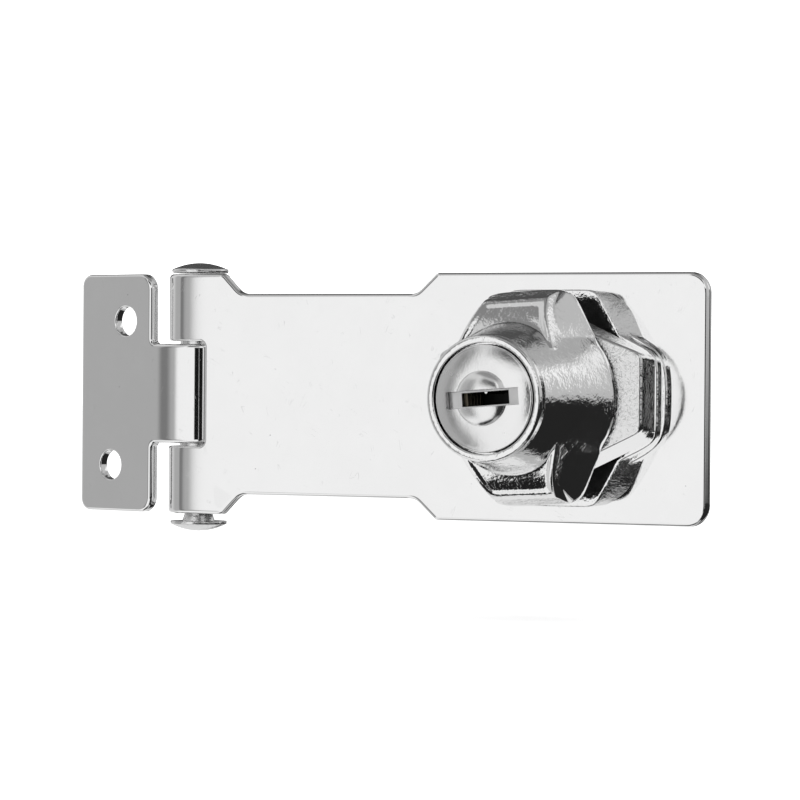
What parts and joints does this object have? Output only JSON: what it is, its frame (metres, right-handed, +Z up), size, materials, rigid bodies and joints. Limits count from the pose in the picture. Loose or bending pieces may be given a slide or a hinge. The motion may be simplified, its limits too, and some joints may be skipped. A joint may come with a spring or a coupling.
{
  "type": "hasp and staple",
  "caption": "Chromed hasp with a hinged leaf and a keyed turn-knob lock that grips a T-headed staple.",
  "frame": {"origin": "where the lock axis meets the mounting surface, at the centre of the staple plate's back", "axes": "+Z up along the hinge pin, +X from the hinge towards the lock, -Y out of the knob's front"},
  "size_m": [0.1216, 0.0411, 0.0462],
  "materials": {
    "polished_plate": "polished chrome on rolled sheet",
    "cast_chrome": "polished chrome on die casting, faint orange peel",
    "plug_face": "satin chrome",
    "steel": "bright zinc",
    "brass": "stamped"
  },
  "bodies": {
    "leaf": {"hinge_leaf": "polished_plate", "hinge_pin": "cast_chrome", "hinge_pin_cap": "cast_chrome"},
    "hasp": {"hasp_plate": "polished_plate", "lock_housing": "cast_chrome", "housing_screws": "steel", "spring_washer": "steel", "detent_ball": "steel", "detent_spring": "steel"},
    "knob": {"knob_handle": "cast_chrome", "front_bezel": "cast_chrome", "spindle_hub": "steel", "latch_cam": "steel", "cam_screw": "steel", "bolt_spring": "steel"},
    "plug": {"key_plug": "plug_face", "keyway_liner": "steel", "plug_wafers": "brass", "plug_clip": "steel", "tail_cam": "steel", "tail_screw": "steel"},
    "bolt": {"lock_bolt": "steel"},
    "staple": {"staple_plate": "steel", "staple_post": "steel"}
  },
  "joints": [
    {"name": "hasp_swing", "type": "hinge", "parent": "leaf", "child": "hasp", "pos_m": [-0.071, -0.0052, 0], "axis": [0, 0, 1], "range_deg": [-15, 165]},
    {"name": "knob_turn", "type": "hinge", "parent": "hasp", "child": "knob", "pos_m": [0, -0.03, 0], "axis": [0, 1, 0], "range_deg": [0, 90]},
    {"name": "key_turn", "type": "hinge", "parent": "knob", "child": "plug", "pos_m": [0, -0.035, 0], "axis": [0, 1, 0], "range_deg": [0, 90]},
    {"name": "bolt_slide", "type": "slide", "parent": "knob", "child": "bolt", "axis": [0, 1, 0], "range_m": [0, 0.0022], "deforming": ["bolt_spring"]},
    {"name": "staple_withdraw", "type": "slide", "parent": "hasp", "child": "staple", "axis": [0, 1, 0], "range_m": [0, 0.02]}
  ],
  "couplings": [
    {"joint": "bolt_slide", "follows": "key_turn", "m_per_rad": 0.0014006}
  ]
}
